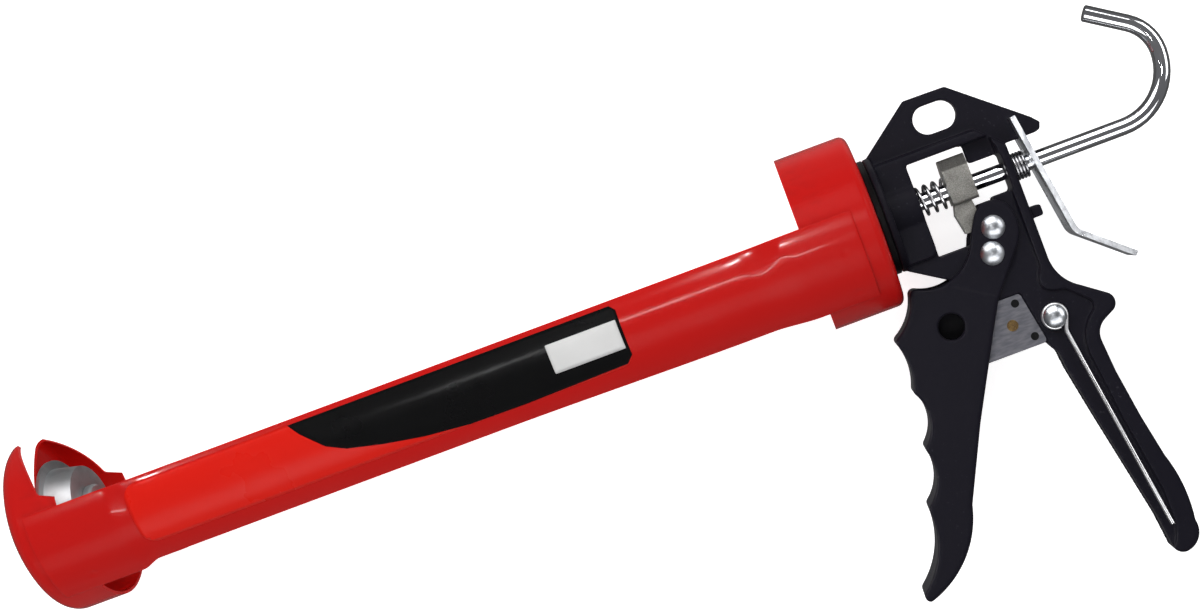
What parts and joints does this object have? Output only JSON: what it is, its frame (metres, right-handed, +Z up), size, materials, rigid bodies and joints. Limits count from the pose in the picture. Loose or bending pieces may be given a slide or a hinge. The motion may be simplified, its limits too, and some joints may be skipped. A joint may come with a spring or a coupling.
{
  "type": "caulking gun",
  "caption": "Caulking gun with a rotating open barrel, pull rod with hook and plunger, spring-loaded trigger, release lever, spout cutter and swing-out seal punch.",
  "frame": {"origin": "centre of the rear cap's inner face, on the barrel axis, where the cartridge's rear end seats", "axes": "+X along the barrel axis to the rear (hook end), muzzle towards -X; +Z up, away from the handle; -Y is the side with the spout cutter hole and the seal punch"},
  "size_m": [0.4549, 0.0686, 0.2004],
  "materials": {
    "red_enamel": "glossy red baked enamel on pressed sheet steel",
    "black_enamel": "satin black powder coat on die-cast metal",
    "black_plastic": "semi-gloss black nylon",
    "zinc_plate": "bright zinc plate",
    "rivet_steel": "zinc-plated rivet, lightly dented dome",
    "chrome_rod": "bright chrome plate",
    "grey_casting": "rough grey sintered block",
    "spring_wire": "bright spring wire",
    "blade_steel": "dull grey ground blade",
    "black_steel": "blackened dowel",
    "brass": "plain brass",
    "punch_wire": "bright wire"
  },
  "bodies": {
    "frame": {"frame_casting": "black_enamel", "swivel_ring": "black_plastic", "thrust_washer": "zinc_plate", "swivel_bushing": "zinc_plate", "pivot_pin": "rivet_steel", "cutter_blade": "blade_steel", "blade_dowels": "black_steel", "blade_eyelet": "brass", "punch_rivet": "rivet_steel", "drive_spring": "spring_wire", "release_spring": "spring_wire"},
    "barrel": {"front_cap": "red_enamel", "rear_cap": "red_enamel", "left_rail": "red_enamel", "right_rail": "red_enamel"},
    "trigger": {"trigger": "black_enamel", "drive_pin": "rivet_steel"},
    "driver": {"drive_block": "grey_casting"},
    "plunger": {"plunger": "zinc_plate"},
    "rod": {"pull_rod": "chrome_rod", "plunger_nut": "zinc_plate", "plunger_collar": "zinc_plate"},
    "lever": {"release_lever": "zinc_plate"},
    "punch": {"seal_punch": "punch_wire"}
  },
  "joints": [
    {"name": "barrel_spin", "type": "hinge", "parent": "frame", "child": "barrel", "pos_m": [0, 0, 0], "axis": [1, 0, 0], "continuous": true},
    {"name": "trigger_pull", "type": "hinge", "parent": "frame", "child": "trigger", "pos_m": [0.0365, 0, -0.0265], "axis": [0, -1, 0], "range_deg": [0, 28], "stiffness_Nm_per_rad": 0.6, "springref_deg": -28.65},
    {"name": "driver_slide", "type": "slide", "parent": "frame", "child": "driver", "axis": [-1, 0, 0], "range_m": [0, 0.005], "deforming": ["drive_spring"]},
    {"name": "rod_slide", "type": "slide", "parent": "frame", "child": "plunger", "axis": [1, 0, 0], "range_m": [0, 0.29]},
    {"name": "rod_turn", "type": "hinge", "parent": "plunger", "child": "rod", "pos_m": [0, 0, 0], "axis": [1, 0, 0], "continuous": true},
    {"name": "lever_press", "type": "hinge", "parent": "frame", "child": "lever", "pos_m": [0.06197, 0, 0.0089], "axis": [0, 1, 0], "range_deg": [0, 9], "stiffness_Nm_per_rad": 0.5, "springref_deg": -17.19, "deforming": ["release_spring"]},
    {"name": "punch_swing", "type": "hinge", "parent": "frame", "child": "punch", "pos_m": [0.0498, -0.0093, -0.0558], "axis": [0, -1, 0], "range_deg": [0, 76]}
  ],
  "couplings": [
    {"joint": "driver_slide", "follows": "trigger_pull", "m_per_rad": 0.009412}
  ]
}
